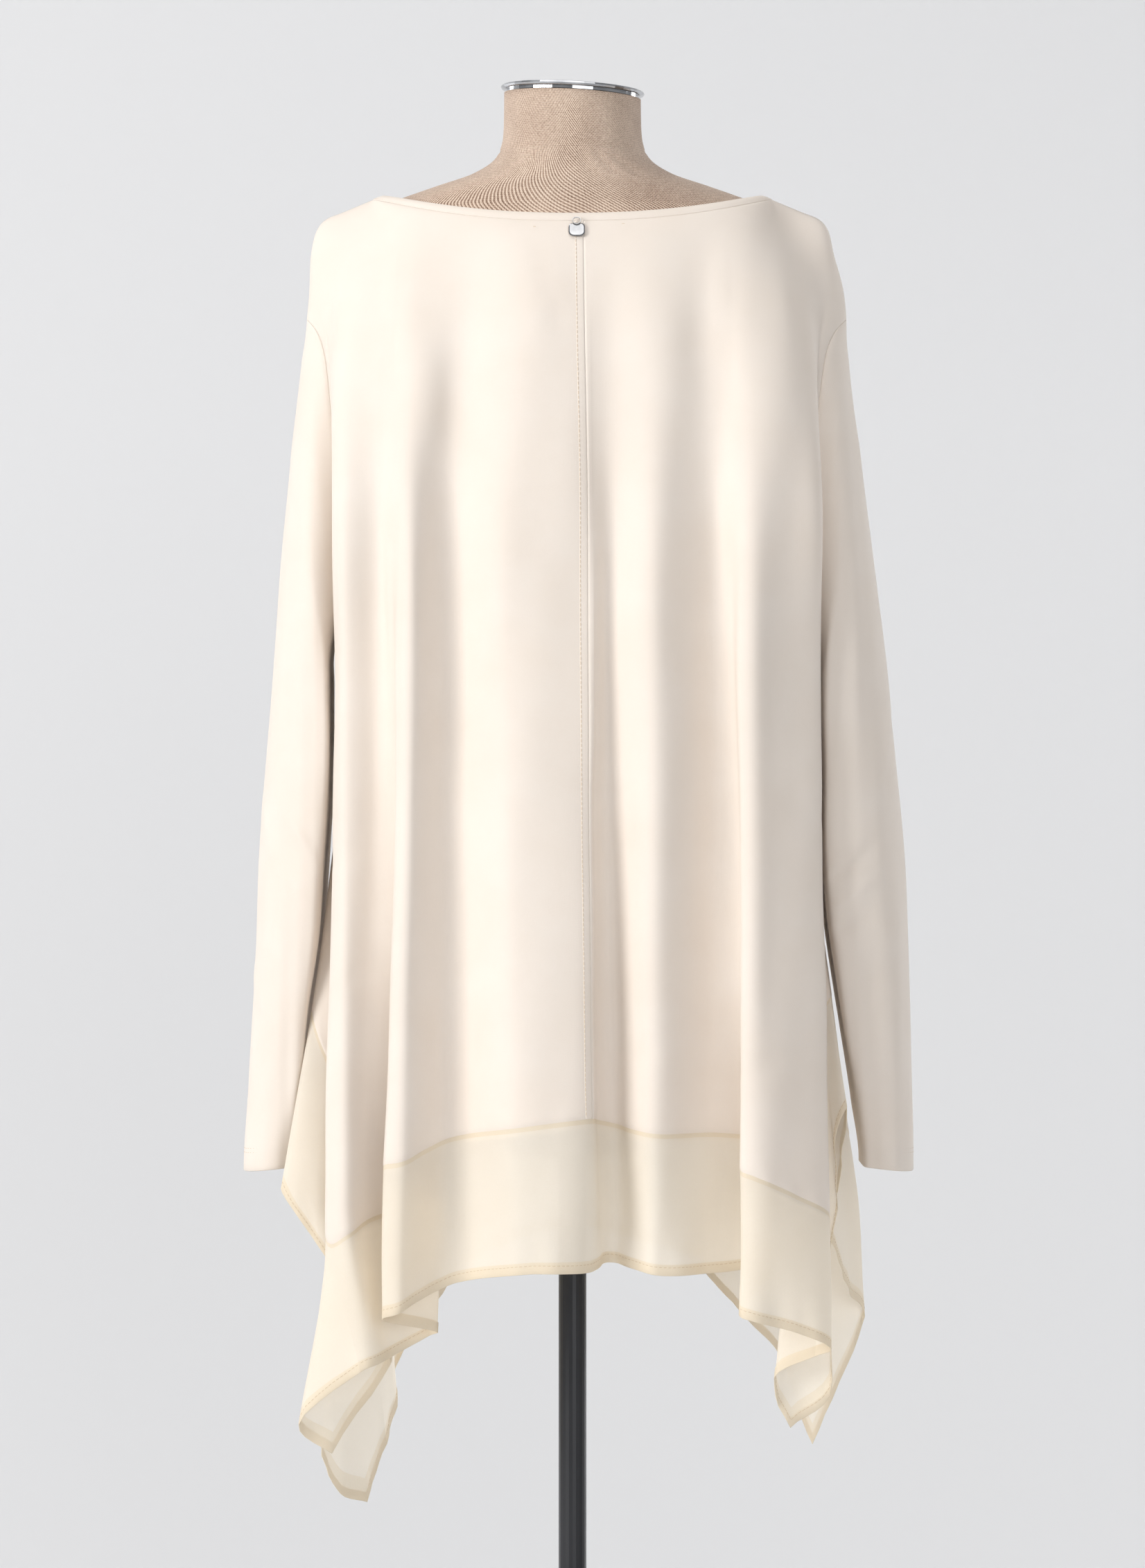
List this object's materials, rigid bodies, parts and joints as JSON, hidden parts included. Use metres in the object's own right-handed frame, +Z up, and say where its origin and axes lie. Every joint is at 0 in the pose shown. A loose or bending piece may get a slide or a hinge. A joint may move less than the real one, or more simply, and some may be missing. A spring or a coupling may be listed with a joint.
{
  "type": "tunic top on dress form",
  "caption": "Long-sleeved jersey tunic with a sheer band round its handkerchief hem, hanging on a linen dress form on a pole and round foot.",
  "frame": {"origin": "on the floor, at the centre of the foot's underside", "axes": "+Z up the pole, the tunic's back faces -Y and its front +Y, the wearer's right arm is at +X"},
  "size_m": [0.4834, 0.344, 1.4975],
  "materials": {
    "jersey": "fine cream jersey, matt with a faint sheen",
    "chiffon": "sheer cream chiffon, matt",
    "linen": "beige-brown linen twill, matt",
    "charm_metal": "polished",
    "cap_metal": "polished",
    "black_paint": "satin black"
  },
  "bodies": {
    "root": {"back_left": "jersey", "back_right": "jersey", "front": "jersey", "neckband_back": "jersey", "neckband_front": "jersey", "sleeve_left": "jersey", "sleeve_right": "jersey", "hem_strip_back_left": "chiffon", "hem_strip_back": "chiffon", "hem_strip_back_right": "chiffon", "hem_strip_front_right": "chiffon", "hem_strip_front": "chiffon", "hem_strip_front_left": "chiffon", "charm_ring": "charm_metal", "charm_plate": "charm_metal", "form_torso": "linen", "neck_cap": "cap_metal", "under_boss": "black_paint", "pole": "black_paint", "foot_hub": "black_paint", "foot": "black_paint"}
  },
  "joints": []
}
